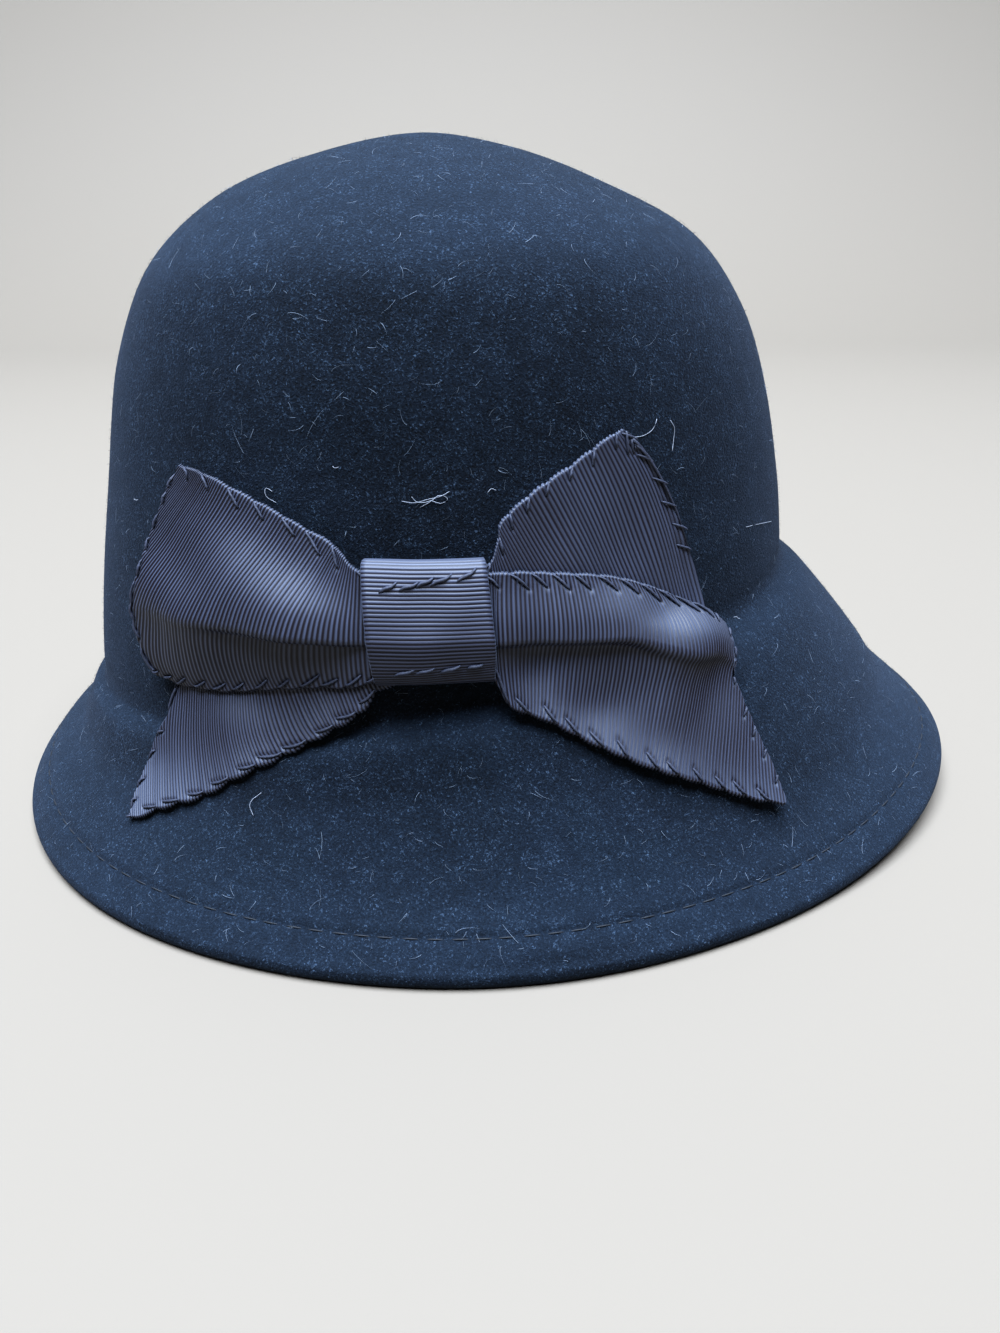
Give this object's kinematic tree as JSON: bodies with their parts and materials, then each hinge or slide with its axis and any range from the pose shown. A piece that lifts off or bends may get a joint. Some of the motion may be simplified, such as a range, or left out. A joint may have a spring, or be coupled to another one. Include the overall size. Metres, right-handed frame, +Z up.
{
  "type": "cloche hat",
  "caption": "Felt cloche hat with a deep round crown, a down-turned brim deeper at the front, and a flat crossed ribbon bow held by a knot on its right side.",
  "frame": {"origin": "middle of the hat's footprint, on the surface that the brim rests on", "axes": "+X towards the front of the hat, where the brim is deepest; -Y to the wearer's right side, which carries the bow; +Z up through the crown"},
  "size_m": [0.2788, 0.2438, 0.1733],
  "materials": {
    "wool_felt": "brushed matt felt, blue-black",
    "under_grosgrain": "ribbed ribbon, charcoal with a soft sheen",
    "upper_grosgrain": "ribbed ribbon, charcoal with a soft sheen",
    "knot_grosgrain": "ribbed ribbon, charcoal with a soft sheen"
  },
  "bodies": {
    "root": {"felt_body": "wool_felt", "bow_under_ribbon": "under_grosgrain", "bow_upper_ribbon": "upper_grosgrain", "bow_knot": "knot_grosgrain"}
  },
  "joints": []
}
